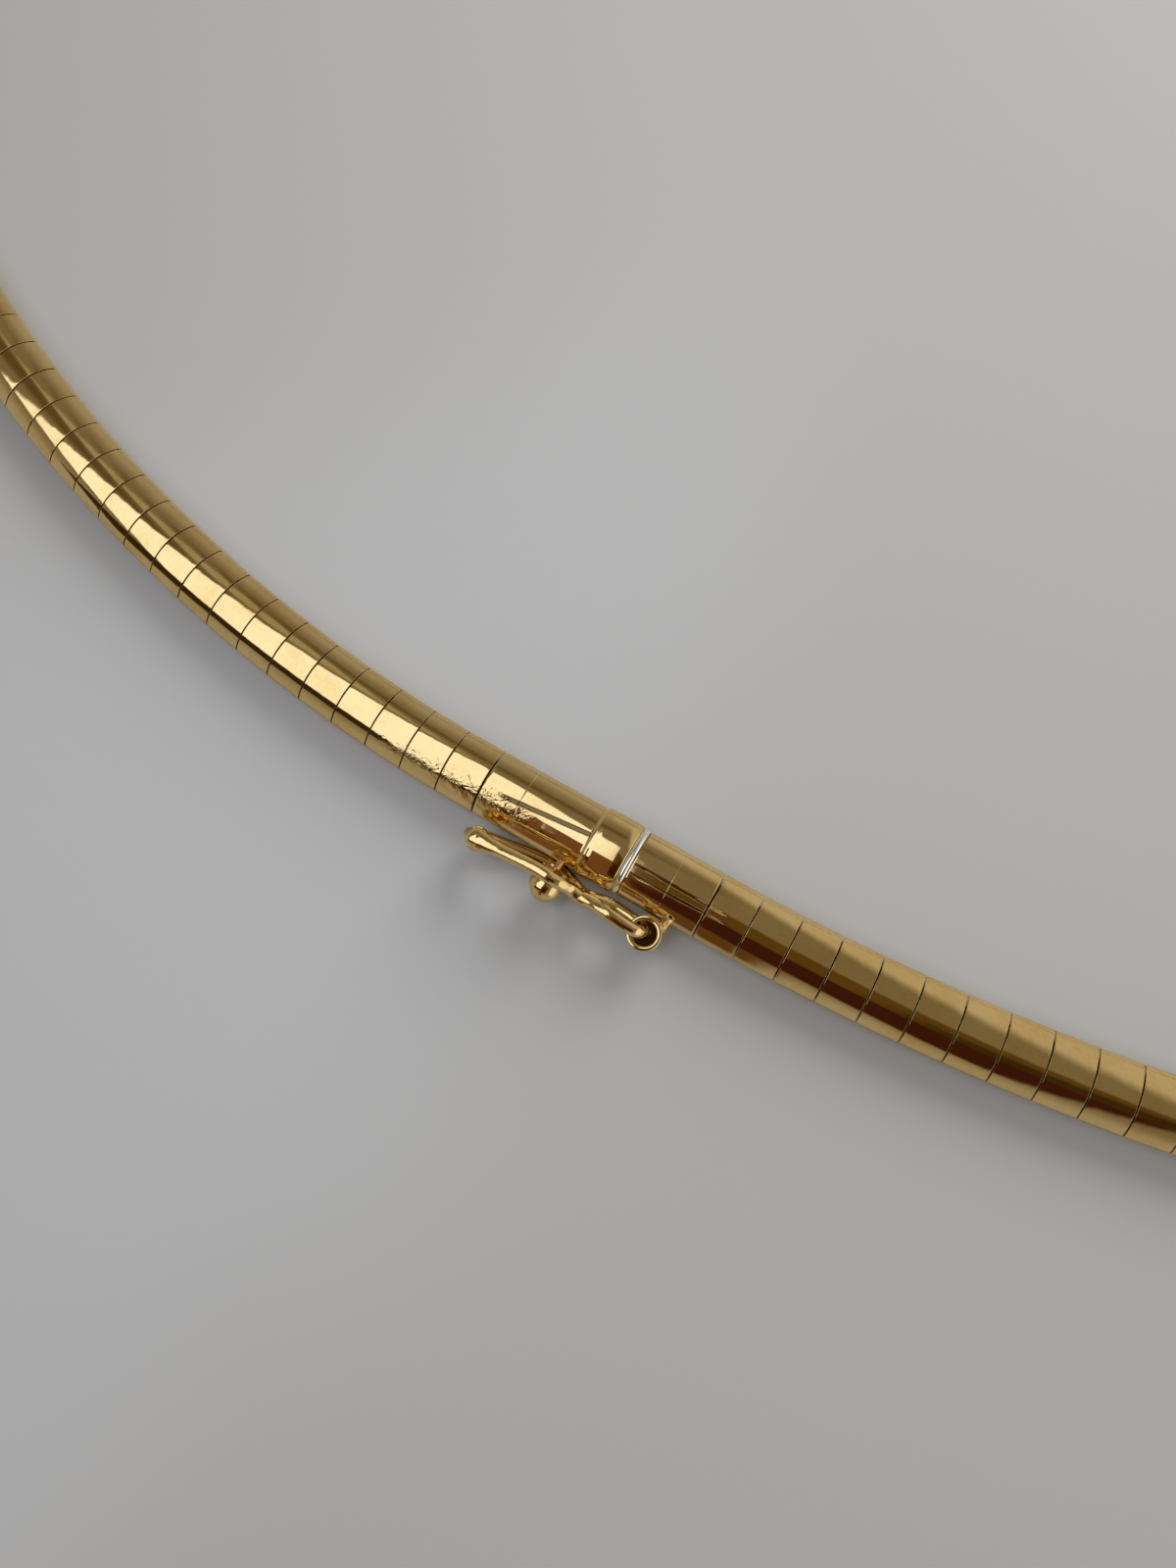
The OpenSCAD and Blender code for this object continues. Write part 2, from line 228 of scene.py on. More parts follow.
goldWork = {
    "plate": colour(0.85, 0.64, 0.30),
    "tarnish": colour(0.78, 0.54, 0.21),
    # the black of grime in the clasp's grooves, also used as painted shade under the catch ring
    "grime": colour(0.09, 0.055, 0.025),
    "roughness": (0.025, 0.07),
    "speckRoughness": 0.05,
    "driftNoise": (0.35, 3.0),
    "driftCover": (0.35, 0.7),
    "speckNoise": (4.0, 3.0, 0.6),
    "speckCover": (0.6, 0.8),
    "tarnishShares": (0.6, 0.4),  # of the drift and of the specks
    "tarnishCover": (0.4, 0.7),
    "dentNoise": (0.9, 1.0, 0.4),
    "dentDeep": 0.007,
    "hairStretch": (1.2, 26, 26),
    "hairTurn": 0.3,
    "hairNoise": (1.0, 2.0, 0.7),
    "hairDeep": 0.0004,
    "lumpStretch": (0.75, 1.25, 1.25),
    "lumpNoise": (1.6, 3.0, 0.62, 0.5),
    "lumpCover": (0.45, 0.75),
    "scuffDeep": 0.06,
    "scuffRoughness": 0.08,
    "scuffTarnish": 0.2,
    "grooveDeep": 0.05,
    "grimeAndShadeMix": 0.9,
}


def newMetal(name):
    # A bare metal: its material, its shader, and the place on the piece in millimetres
    material = bpy.data.materials.new(name)
    material.use_nodes = True
    shader = material.node_tree.nodes["Principled BSDF"]
    shader.inputs["Metallic"].default_value = 1.0
    place = Feed(material.node_tree).make("ShaderNodeTexCoord", out="Object")
    return material, shader, place.stretch((1 / mm, 1 / mm, 1 / mm))


def plugMetal(shader, shown, rough, height):
    bump = height.make("ShaderNodeBump", sockets={"Strength": 1.0, "Distance": mm, "Height": height})
    for name, value in (("Base Color", shown), ("Roughness", rough), ("Normal", bump)):
        value.plug(shader.inputs[name], value)


def goldFinish(name, denting, wearAndShade):
    # Polished gold: slow colour drift, hairlines and soft dents, with the marks of its wear zone,
    # which are raised scuffs, if it has any, and black marks: grimy grooves on the clasp, painted shade
    # under the ring
    material, shader, place = newMetal(name)
    drift = place.noise(*goldWork["driftNoise"])
    specks = place.noise(*goldWork["speckNoise"])
    along = place.stretch(goldWork["hairStretch"], turn=(0, 0, goldWork["hairTurn"]))
    hairs = along.noise(*goldWork["hairNoise"])
    dents = place.noise(*goldWork["dentNoise"])
    height = dents * (goldWork["dentDeep"] * denting) + hairs * goldWork["hairDeep"]
    rough = drift.ramp(*goldWork["driftCover"], *goldWork["roughness"]) \
        + specks.ramp(*goldWork["speckCover"]) * goldWork["speckRoughness"]
    driftShare, speckShare = goldWork["tarnishShares"]
    shade = (drift * driftShare + specks * speckShare).ramp(*goldWork["tarnishCover"])
    scuffs, groovesAndShade = wearAndShade(place)
    if scuffs:
        lumps = place.stretch(goldWork["lumpStretch"]).noise(*goldWork["lumpNoise"])
        height = height + scuffs * lumps * goldWork["scuffDeep"]
        rough = rough + scuffs * lumps.ramp(*goldWork["lumpCover"]) * goldWork["scuffRoughness"]
        shade = shade + scuffs * goldWork["scuffTarnish"]
    gold = shade.tint(goldWork["plate"], goldWork["tarnish"])
    # Grooves on the clasp take the black of grime; under the ring the same black is painted shade
    shown = (groovesAndShade * goldWork["grimeAndShadeMix"]).tint(gold, goldWork["grime"])
    plugMetal(shader, shown, rough, height - groovesAndShade * goldWork["grooveDeep"])
    return material


wear = {  # along and across the clasp from its middle, where a pair is a soft edge
    "raggedNoise": (1.4, 3.0, 0.6),
    "ragged": 0.5,
    "scuffAcross": -0.75,
    "scuffHalf": (0.75, 0.3),
    "scuffStart": (-15, -12),
    "scuffEnd": (-3, -5),
    "scratchThrough": (-3, -0.09),  # a point on it
    "scratchSlope": 0.094,
    "scratchRagged": 0.12,
    "scratchHalf": (0.15, 0.08),
    "scratchStart": (-6.4, -5.2),
    "scratchEnd": (-0.4, -0.42),
    "streakAcross": -0.35,
    "streakHalf": (0.42, 0.25),
    "streakStart": (2.5, 3.2),
    "streakEnd": (8.6, 7.0),
    "streakStretch": (0.12, 5, 5),
    "streakNoise": (1.0, 2.0, 0.5),
    "streakCover": (0.57, 0.62),
    "streakGrime": 0.7,
}


def claspWear(place):
    # Scuffs on the outer upper face of the first plates and the box, one deep scratch that runs on
    # from them to the collar, and streaks along the end cap
    x, y = place.split()[:2]
    middle = claspMiddle / mm
    across, along = y - middle.y, x - middle.x
    ragged = place.noise(*wear["raggedNoise"]) * wear["ragged"] - wear["ragged"] / 2
    scuffs = (across + ragged - wear["scuffAcross"]).maths("ABSOLUTE").ramp(*wear["scuffHalf"]) \
        * along.ramp(*wear["scuffStart"]) * along.ramp(*wear["scuffEnd"])
    throughX, throughY = wear["scratchThrough"]
    line = (along - throughX) * wear["scratchSlope"] + throughY
    off = (across - line + ragged * wear["scratchRagged"]).maths("ABSOLUTE")
    scratch = off.ramp(*wear["scratchHalf"]) \
        * along.ramp(*wear["scratchStart"]) * along.ramp(*wear["scratchEnd"])
    lines = place.stretch(wear["streakStretch"]).noise(*wear["streakNoise"])
    streaks = lines.ramp(*wear["streakCover"]) \
        * along.ramp(*wear["streakStart"]) * along.ramp(*wear["streakEnd"]) \
        * (across - wear["streakAcross"]).maths("ABSOLUTE").ramp(*wear["streakHalf"])
    return scuffs, scratch.maths("MAXIMUM", streaks * wear["streakGrime"])


plateGold = goldFinish("plateGold", 1.0, claspWear)
claspGold = goldFinish("claspGold", 0.6, claspWear)

whiteWork = {
    "clean": colour(1.0, 0.99, 0.93),
    "dull": colour(0.94, 0.92, 0.85),
    "dullCover": (0.35, 0.7),
    "roughness": (0.12, 0.2),
    "roughCover": (0.3, 0.7),
    "brushStretch": (2, 30, 3),
    "brushNoise": (1.0, 3.0, 0.6),
    "brushDeep": 0.003,
}


def whiteMetalFinish(name):
    material, shader, place = newMetal(name)
    brushed = place.stretch(whiteWork["brushStretch"]).noise(*whiteWork["brushNoise"])
    shown = brushed.ramp(*whiteWork["dullCover"]).tint(whiteWork["clean"], whiteWork["dull"])
    rough = brushed.ramp(*whiteWork["roughCover"], *whiteWork["roughness"])
    plugMetal(shader, shown, rough, brushed * whiteWork["brushDeep"])
    return material


whiteMetal = whiteMetalFinish("whiteMetal")

coreWork = {
    # both colours are painted dark: shade in the gaps between plates where the core shows, and deeper shade
    # in the weave's hollows
    "hollows": colour(0.12, 0.05, 0.02),
    "wires": colour(0.3, 0.17, 0.07),
    "roughness": (0.3, 0.5),
    "roughCover": (0.3, 0.7),
    "weave": 7,
    "weaveTurn": 0.785,
    "weaveBend": 0.3,
    "weaveDeep": 0.02,
    "grimeNoise": (1.5, 3.0),
    "wireShares": (0.6, 0.4),  # of the weave and of the grime
    "wireCover": (0.3, 0.8),
}


def coreFinish(name):
    # The flat core: a fine woven mesh tube, satin gold painted dark reddish brown as shade in the narrow
    # gaps between plates where it shows, and darker in the weave's hollows as shade between its wires
    material, shader, place = newMetal(name)
    one, other = [place.stretch([coreWork["weave"]] * 3, turn=(0, 0, turn)).make(
        "ShaderNodeTexWave", {"wave_type": "BANDS"},
        {"Scale": 1.0, "Distortion": coreWork["weaveBend"]}, out="Fac")
        for turn in (coreWork["weaveTurn"], -coreWork["weaveTurn"])]
    weave = one.maths("MAXIMUM", other)
    grime = place.noise(*coreWork["grimeNoise"])
    weaveShare, grimeShare = coreWork["wireShares"]
    raised = (weave * weaveShare + grime * grimeShare).ramp(*coreWork["wireCover"])
    shown = raised.tint(coreWork["hollows"], coreWork["wires"])
    rough = grime.ramp(*coreWork["roughCover"], *coreWork["roughness"])
    plugMetal(shader, shown, rough, weave * coreWork["weaveDeep"])
    return material


# Chain

chain = {
    "loopDepth": 108.0,
    "frontTurn": 60.0,
    "boxSide": {"radius": 101.0, "turn": 26.0},
    "capSide": {"radius": 147.0, "turn": 12.0},
    "pitch": 2.43,
    "gap": 0.085,
    "slot": 1.0,
    "stations": (-1.0, -0.985, -0.85, 0.0, 0.85, 0.985, 1.0),  # shares of half a plate's length
    "rolledEnd": 0.012,  # how much lower a plate's ends are than its middle
    "rollBend": 4,
    "edgeRadius": 0.008,
    "tilt": (0.35, 0.14, 0.21),  # degrees that a plate may lean, rock and turn out of line
    "tiltLevel": 1.0,
    "seed": 7,
}


def halfLoopArcs(back):
    # The three arcs of a half loop, from the clasp to the front: radius and turn
    sideTurn = 180 - chain["frontTurn"]
    sinSide, cosSide = math.sin(math.radians(sideTurn)), math.cos(math.radians(sideTurn))
    sinBack, cosBack = math.sin(math.radians(back["turn"])), math.cos(math.radians(back["turn"]))
    share = sinSide / (sinSide - sinBack)
    taken = (clasp["halfLength"] + back["radius"] * sinBack) / (sinSide - sinBack)
    drop = cosBack - cosSide
    front = (chain["loopDepth"] - back["radius"] * (1 - cosBack) + taken * drop) \
        / (share * drop + 1 + cosSide)
    return [(back["radius"], back["turn"]), (share * front - taken, sideTurn - back["turn"]),
            (front, chain["frontTurn"])]


def placeOnLoop(arcs, s):
    # Point, heading and radius of the centreline at length s from the clasp
    centre = Vector((clasp["halfLength"], arcs[0][0]))
    turned = 0.0
    for n, (radius, turn) in enumerate(arcs):
        length = radius * math.radians(turn)
        if s <= length or n == len(arcs) - 1:
            angle = math.radians(turned) + s / radius
            return centre + radius * Vector((math.sin(angle), -math.cos(angle))), angle, radius
        s -= length
        turned += turn
        angle = math.radians(turned)
        centre = centre + (radius - arcs[n + 1][0]) * Vector((math.sin(angle), -math.cos(angle)))


def makePlate(length):
    # One plate about the origin, along x: a sheet bent round the core, with its edges eased
    plate = bmesh.new()
    stations = [share * length / 2 for share in chain["stations"]]
    edges = traceSection(plate, stations[0], 0.0, chain["slot"])
    for before, after in zip(stations, stations[1:]):
        grown = bmesh.ops.extrude_edge_only(plate, edges=edges)["geom"]
        edges = [item for item in grown if isinstance(item, bmesh.types.BMEdge)
                 and all(vert in grown for vert in item.verts)
                 and abs(item.verts[0].co.x - item.verts[1].co.x) < touching]
        moved = [item for item in grown if isinstance(item, bmesh.types.BMVert)]
        bmesh.ops.translate(plate, verts=moved, vec=(after - before, 0, 0))
    bmesh.ops.recalc_face_normals(plate, faces=plate.faces)
    crown = [face for face in plate.faces if face.calc_center_median().z > section["sideLevel"]]
    if sum(face.normal.z for face in crown) < 0:
        bmesh.ops.reverse_faces(plate, faces=plate.faces)
    outer = set(plate.verts)
    bmesh.ops.solidify(plate, geom=plate.faces[:], thickness=section["sheet"])
    rim = [edge for edge in plate.edges
           if all(vert in outer and abs(abs(vert.co.x) - length / 2) < touching for vert in edge.verts)]
    bmesh.ops.bevel(plate, geom=rim, offset=chain["edgeRadius"], affect="EDGES", segments=2,
                    profile=0.5, material=-1)
    middle = section["sideLevel"]
    for vert in plate.verts:
        eased = 1 - chain["rolledEnd"] / halfWidth * abs(vert.co.x * 2 / length) ** chain["rollBend"]
        vert.co.y *= eased
        if vert.co.z > middle:
            vert.co.z = middle + (vert.co.z - middle) * eased
    return plate


def makeHalfChain(name, node, back, side):
    arcs = halfLoopArcs(back)
    total = sum(radius * math.radians(turn) for radius, turn in arcs)
    count = round(total / chain["pitch"])
    pitch = total / count
    plate = makePlate(pitch - chain["gap"])
    plateData = bpy.data.meshes.new(name + "Plate")
    plate.to_mesh(plateData)
    plate.free()
    dice = random.Random(chain["seed"] + side)
    half = bmesh.new()
    for n in range(count):
        point, angle, radius = placeOnLoop(arcs, (n + 0.5) * pitch)
        known = len(half.verts)
        half.from_mesh(plateData)
        half.verts.ensure_lookup_table()
        added = half.verts[known:]
        for vert in added:
            vert.co.x *= 1 - vert.co.y / radius
        lean, rock, twist = [math.radians(dice.uniform(-1, 1) * most) for most in chain["tilt"]]
        wobble = Matrix.Translation((0, 0, chain["tiltLevel"])) \
            @ Matrix.Rotation(lean, 4, "X") @ Matrix.Rotation(rock, 4, "Y") \
            @ Matrix.Rotation(twist, 4, "Z") @ Matrix.Translation((0, 0, -chain["tiltLevel"]))
        turn = Matrix.Translation((side * point.x, point.y, 0)) @ Matrix.Rotation(side * angle, 4, "Z")
        bmesh.ops.transform(half, matrix=turn @ wobble, verts=added)
        for vert in added:
            vert.co.z = max(vert.co.z, 0.0)
    finishPiece(half, name, "necklace", node, plateGold)


makeHalfChain("leftPlates", "plates_left", chain["boxSide"], -1)
makeHalfChain("rightPlates", "plates_right", chain["capSide"], 1)

# Clasp box and its collar, from the core's pocket round the outside into the tongue's chamber

claspBox = {
    "pocketDeep": 2.0,
    "bulkhead": 0.4,
    "wall": 0.35,
    "easing": 0.05,
    "solderLine": 0.016,
    "collarProud": 0.13,  # how proud the collar stands
    "collarDrop": 0.07,  # how much lower its two ends are
    "collarFlat": 0.55,  # share of its length that is flat
    "collarBend": 2.2,
    "collarFoot": 3,  # the flat before it, how far its ends lean in, and the mouth's inset, in easings
    "collarLean": 0.4,
    "mouthInset": 0.2,
    "collarSteps": 30,
    "lip": 0.025,  # a fine raised line along the edge away from the mouth
    "lipRows": (1, 2),
}


def makeBox():
    box = bmesh.new()
    ease, line = claspBox["easing"], claspBox["solderLine"]
    start, mouth, collar = clasp["boxEndX"], clasp["mouthX"], clasp["collarX"]
    seam = clasp["boxLineX"]
    rows = [(start + claspBox["pocketDeep"], section["sheet"]), (start, section["sheet"])]
    rows += shareRows(section["easedEdge"], start, ease)
    rows += shareRows(section["solderSeam"], seam, line)
    rows += [(collar - claspBox["collarFoot"] * ease, 0), (collar, 0)]
    first, last = collar + claspBox["collarLean"] * ease, mouth - claspBox["collarLean"] * ease
    for n in range(claspBox["collarSteps"] + 1):
        share = 2 * n / claspBox["collarSteps"] - 1
        bend = max(0.0, abs(share) - claspBox["collarFlat"]) / (1 - claspBox["collarFlat"])
        proud = claspBox["collarProud"] - claspBox["collarDrop"] * bend ** claspBox["collarBend"]
        if n in claspBox["lipRows"]:
            proud += claspBox["lip"]
        rows.append(((first + last + (last - first) * share) / 2, -proud))
    rows += [(mouth, claspBox["mouthInset"] * ease), (mouth, claspBox["wall"]),
             (start + claspBox["pocketDeep"] + claspBox["bulkhead"], claspBox["wall"])]
    loftSections(box, rows)
    for vert in box.verts:
        vert.co.z = max(vert.co.z, 0.0)
    finishPiece(box, "boxShell", "necklace", "clasp_box", claspGold)


makeBox()

# End cap

endCap = {"pocketDeep": 2.0, "easing": 0.03, "solderLine": 0.006, "wall": 0.45, "rootRoom": 1.4}


def makeCap():
    cap = bmesh.new()
    ease, line = endCap["easing"], endCap["solderLine"]
    start, end, seam = clasp["capX"], clasp["capEndX"], clasp["capLineX"]
    rows = [(start + endCap["rootRoom"], endCap["wall"]), (start, endCap["wall"])]
    rows += shareRows(section["easedEdge"], start, ease)
    rows += shareRows(section["solderSeam"], seam, line)
    rows += shareRows(section["easedEdge"], end, ease, -1)
    rows += [(end, section["sheet"]), (end - endCap["pocketDeep"], section["sheet"])]
    loftSections(cap, rows)
    finishPiece(cap, "capShell", "necklace", "clasp_end", claspGold)


makeCap()

# Ball stud and catch ring, in a gold that is black only under the ring, where the black is painted shade
# for the ring's hole

stud = {
    "ball": 2.0,
    "ballSteps": 24,
    "at": (-1.25, -3.45, 1.72),
    "root": (-1.25, -1.72, 1.0),  # just inside the side of the box
    "rod": 0.5,
    "fillet": 0.1,
    "filletRows": ((0.3, 0.05), (0, 0.14)),  # share of the fillet, and place past the ball
    "flare": 0.16,
    "flareRows": ((0, 0.3), (0.3, 0.16), (1, 0.04), (1, 0)),  # the same, before the root
    "turns": 40,
}


def latheRod(mesh, profile, foot, head, turns):
    # Spins a profile of rows, each a radius and a length from the foot, about the line to the head
    line = Vector(head) - Vector(foot)
    rings = [mesh.verts.new((radius, 0, height)) for radius, height in profile]
    edges = [mesh.edges.new(pair) for pair in zip(rings, rings[1:])]
    before = set(mesh.verts) - set(rings)
    bmesh.ops.spin(mesh, geom=rings + edges, cent=(0, 0, 0), axis=(0, 0, 1),
                   angle=2 * math.pi, steps=turns, use_merge=True, use_duplicate=False)
    lathed = [vert for vert in mesh.verts if vert not in before]
    turn = Vector((0, 0, 1)).rotation_difference(line).to_matrix().to_4x4()
    bmesh.ops.transform(mesh, matrix=Matrix.Translation(foot) @ turn, verts=lathed)
    bmesh.ops.remove_doubles(mesh, verts=lathed, dist=touching)


def makeStud():
    piece = bmesh.new()
    ball, rod = stud["ball"] / 2, stud["rod"] / 2
    length = (Vector(stud["root"]) - Vector(stud["at"])).length
    around = math.pi - math.asin((rod + stud["fillet"]) / ball)
    steps = stud["ballSteps"]
    profile = [(ball * math.sin(around * n / steps), -ball * math.cos(around * n / steps))
               for n in range(steps + 1)]
    neck = profile[-1][1]
    profile += [(rod + share * stud["fillet"], neck + past) for share, past in stud["filletRows"]]
    profile += [(rod + share * stud["flare"], length - back) for share, back in stud["flareRows"]]
    profile.append((0, length))
    latheRod(piece, profile, stud["at"], stud["root"], stud["turns"])
    finishPiece(piece, "ballStud", "necklace", "clasp_box", wireGold)


def fuse(mesh, voxel, rounds):
    # Melts overlapping solids into one skin with soft joints, as solder does
    data = bpy.data.meshes.new("melting")
    mesh.to_mesh(data)
    mesh.free()
    holder = bpy.data.objects.new("melting", data)
    bpy.context.scene.collection.objects.link(holder)
    skin = holder.modifiers.new("skin", "REMESH")
    skin.mode = "VOXEL"
    skin.voxel_size = voxel
    soften = holder.modifiers.new("soften", "SMOOTH")
    soften.factor = 0.5
    soften.iterations = rounds
    bpy.context.view_layer.update()
    fused = bmesh.new()
    fused.from_object(holder, bpy.context.evaluated_depsgraph_get())
    bpy.data.objects.remove(holder)
    return fused


ring = {
    "bore": 1.46,
    "wall": 0.25,
    "height": 0.6,
    "at": (4.82, -3.1, 1.72),
    "edge": 0.09,
    "turns": 56,
    "lugRoot": (5.55, -1.78, 1.2),
    "lugHead": (5.5, -2.42, 1.66),
    "lug": 0.56,
    "lugFillet": ((0.12, 0), (0.04, 0.12), (0, 0.25)),  # extra radius, and height over the root
    "lugTurns": 24,
    "shadePlate": 0.8,  # radius of the small plate put under the ring, which closes it to the eye and is painted black as painted shade in the ring's hole
    "shadePlateLevel": 0.28,
    "shadePlateThick": 0.14,
    "shadePlateTurns": 40,
    # where the painted shade under the ring sets in, by height and by distance from its axis
    "paintedShadeLevel": (0.75, 0.45),
    "paintedShadeReach": (1.15, 0.95),
    "voxel": 0.035,
    "meltLoss": 0.02,
    "rounds": 3,
}


def ringPaintedShade(place):
    # Painted shade: the plate under the ring, and anything low beside it, is painted black as if shade
    # filled the ring's hole, and nothing on this gold is scuffed
    x, y, z = place.split()
    middle = toFrame @ Vector(ring["at"]) / mm
    offX, offY = x - middle.x, y - middle.y
    away = (offX * offX + offY * offY).maths("SQRT")
    return None, z.ramp(*ring["paintedShadeLevel"]) * away.ramp(*ring["paintedShadeReach"])


wireGold = goldFinish("wireGold", 1.6, ringPaintedShade)


def makeRing():
    piece = bmesh.new()
    low = ring["at"][2] - ring["height"] / 2
    inner = ring["bore"] / 2 - ring["meltLoss"]
    outer = inner + ring["wall"] + 2 * ring["meltLoss"]
    corners = [piece.verts.new((ring["at"][0] + radius, ring["at"][1], z))
               for radius, z in ((inner, low), (outer, low), (outer, low + ring["height"]),
                                 (inner, low + ring["height"]))]
    piece.faces.new(corners)
    bmesh.ops.bevel(piece, geom=corners, offset=ring["edge"], affect="VERTICES", segments=4,
                    profile=0.5, material=-1)
    bmesh.ops.delete(piece, geom=piece.faces[:], context="FACES_ONLY")
    bmesh.ops.spin(piece, geom=piece.edges[:] + piece.verts[:], cent=ring["at"], axis=(0, 0, 1),
                   angle=2 * math.pi, steps=ring["turns"], use_merge=True, use_duplicate=False)
    radius = ring["lug"] / 2
    length = (Vector(ring["lugHead"]) - Vector(ring["lugRoot"])).length
    lug = [(0, 0)] + [(radius + extra, height) for extra, height in ring["lugFillet"]]
    lug += [(radius, length), (0, length)]
    latheRod(piece, lug, ring["lugRoot"], ring["lugHead"], ring["lugTurns"])
    # A small plate under the ring, which this gold paints black as painted shade in the ring's hole
    shadePlateX, shadePlateY = ring["at"][:2]
    bmesh.ops.create_cone(
        piece, cap_ends=True, segments=ring["shadePlateTurns"], radius1=ring["shadePlate"], radius2=ring["shadePlate"],
        depth=ring["shadePlateThick"], matrix=Matrix.Translation((shadePlateX, shadePlateY, ring["shadePlateLevel"])))
    # A bar joins that plate to the side of the end cap
    barMiddle = Matrix.Translation((shadePlateX, (shadePlateY - shoulder) / 2, ring["shadePlateLevel"]))
    barSize = Matrix.Diagonal((ring["shadePlate"], -shadePlateY - shoulder, ring["shadePlateThick"], 1))
    bmesh.ops.create_cube(piece, size=1.0, matrix=barMiddle @ barSize)
    bmesh.ops.recalc_face_normals(piece, faces=piece.faces)
    piece = fuse(piece, ring["voxel"], ring["rounds"])
    finishPiece(piece, "catchRing", "necklace", "clasp_end", wireGold)


makeStud()
makeRing()

# Spring tongue: the white end plate that shows beside the collar, and the folded leaf in the box

tongue = {
    "plateX": 1.965,
    "plate": 0.42,
    "plateWall": 0.6,
    "proud": 0.09,
    "ease": 0.13,
    "rimSteps": 10,
    "leafWidth": 2.5,
    "leaf": 0.22,
    "leafLevel": 0.45,
    "open": 0.42,  # the gap between the two leaves at the plate, and then at the fold
    "fold": 0.1,
    "reach": 5.57,
    "root": 1.11,
}


def makeTongue():
    piece = bmesh.new()
    start, ease, proud = tongue["plateX"], tongue["ease"], tongue["proud"]
    end, wall, steps = start + tongue["plate"], tongue["plateWall"], tongue["rimSteps"]
    rim = [(start + (end - start) * n / steps, ease * (2 * n / steps - 1) ** 2 - proud)
           for n in range(steps + 1)]
    loftSections(piece, [(start, wall)] + rim + [(end, wall)])
    for vert in piece.verts:
        vert.co.z = max(vert.co.z, 0.0)
    leaf, low, foldX = tongue["leaf"], tongue["leafLevel"], start - tongue["reach"]
    rootX, inner = end + tongue["root"], low + leaf
    side = [(rootX, low), (rootX, inner), (foldX + leaf, inner), (foldX + leaf, inner + tongue["fold"]),
            (start, inner + tongue["open"]), (start, inner + leaf + tongue["open"]),
            (foldX, inner + leaf + tongue["fold"]), (foldX, low)]
    face = piece.faces.new([piece.verts.new((x, -tongue["leafWidth"] / 2, z)) for x, z in side])
    grown = bmesh.ops.extrude_face_region(piece, geom=[face])["geom"]
    moved = [item for item in grown if isinstance(item, bmesh.types.BMVert)]
    bmesh.ops.translate(piece, verts=moved, vec=(0, tongue["leafWidth"], 0))
    finishPiece(piece, "springTongue", "necklace", "tongue", whiteMetal)


makeTongue()

# Safety catch: one closed wire bent to a figure of eight, with a solder knot at its waist and a
# bead at its far end

catch = {
    "wire": 0.72,
    "waistGap": 0.02,
    "y": -3.04,
    "z": 1.72,
    "bigHalf": 1.36,
    "smallHalf": 0.81,
    "lean": 13.0,
    "ringLean": 17.0,
    "pivotX": 4.61,
    "waistX": 0.8,
    "tipX": -6.45,
    "ballX": -1.25,
    "endBend": 0.6,
    "bow": 0.39,
    "ringBow": 0.16,
    "bowSkew": 0.6,  # moves the deepest of each bow towards the waist
    "bead": 1.4,
    "beadTaper": 1.6,  # the bead runs out along the upper rail over this length
    "taperBend": 1.5,
    "taperSteps": 12,
    "knot": 0.88,
    "bendSteps": 9,
    "voxel": 0.045,
    "meltLoss": 0.03,  # melting the wire, bead and knot into one skin thins them by this much
    "rounds": 7,
}


def bendWire(x, height, heading, rows):
    # Points along a row of (radius, turn) bends and (0, length) straights, in the wire's own plane
    points = []
    for radius, turn in rows:
        if radius == 0:
            points.append((x, height))
            x, height = x + turn * math.cos(heading), height + turn * math.sin(heading)
            continue
        way = math.copysign(1, turn)
        for n in range(catch["bendSteps"]):
            now = heading + math.radians(turn) * n / catch["bendSteps"]
            points.append((x + way * radius * (math.sin(now) - math.sin(heading)),
                           height - way * radius * (math.cos(now) - math.cos(heading))))
        now = heading + math.radians(turn)
        x += way * radius * (math.sin(now) - math.sin(heading))
        height -= way * radius * (math.cos(now) - math.cos(heading))
        heading = now
    return points


def halfWire(rise, run, closeRun, straight):
    # One rail from the waist: an S that swells to the loop's height, then the bend that closes it
    start, end = (catch["wire"] + catch["waistGap"]) / 2, catch["endBend"]
    swell = 2 * math.degrees(math.atan((rise - start) / run))
    swellRadius = run / math.sin(math.radians(swell)) / 2
    close = 2 * math.degrees(math.atan((rise - end - straight) / (closeRun - end)))
    rows = [(swellRadius, swell), (swellRadius, -swell),
            (end + (closeRun - end) / math.sin(math.radians(close)), -close), (end, close - 90)]
    if straight:
        rows.append((0, straight))
    return bendWire(0.0, start, 0.0, rows)


def wireY(x, height):
    # Where the wire lies in plan: each loop is bowed and leans away from the chain
    if x > catch["waistX"]:
        endX, bow, lean = catch["pivotX"], catch["ringBow"], catch["ringLean"]
    else:
        endX, bow, lean = catch["tipX"], catch["bow"], catch["lean"]
    share = (x - catch["waistX"]) / (endX - catch["waistX"])
    skewed = share * (1 + catch["bowSkew"] * (1 - share))
    return catch["y"] + bow * math.sin(math.pi * skewed) - height * math.tan(math.radians(lean))


def upperRail():
    # The upper half of the wire, from the tip by the bead to the pivot in the ring
    ringRun = (catch["pivotX"] - catch["waistX"]) / 2
    ringRail = [(catch["waistX"] + x, height) for x, height in
                halfWire(catch["smallHalf"], ringRun, ringRun, (catch["smallHalf"] - catch["endBend"]) / 2)]
    ballRail = [(catch["waistX"] - x, height) for x, height in
                halfWire(catch["bigHalf"], catch["waistX"] - catch["ballX"],
                         catch["ballX"] - catch["tipX"], 0)]
    return [(catch["tipX"], 0.0)] + ballRail[::-1] + ringRail[1:] + [(catch["pivotX"], 0.0)]


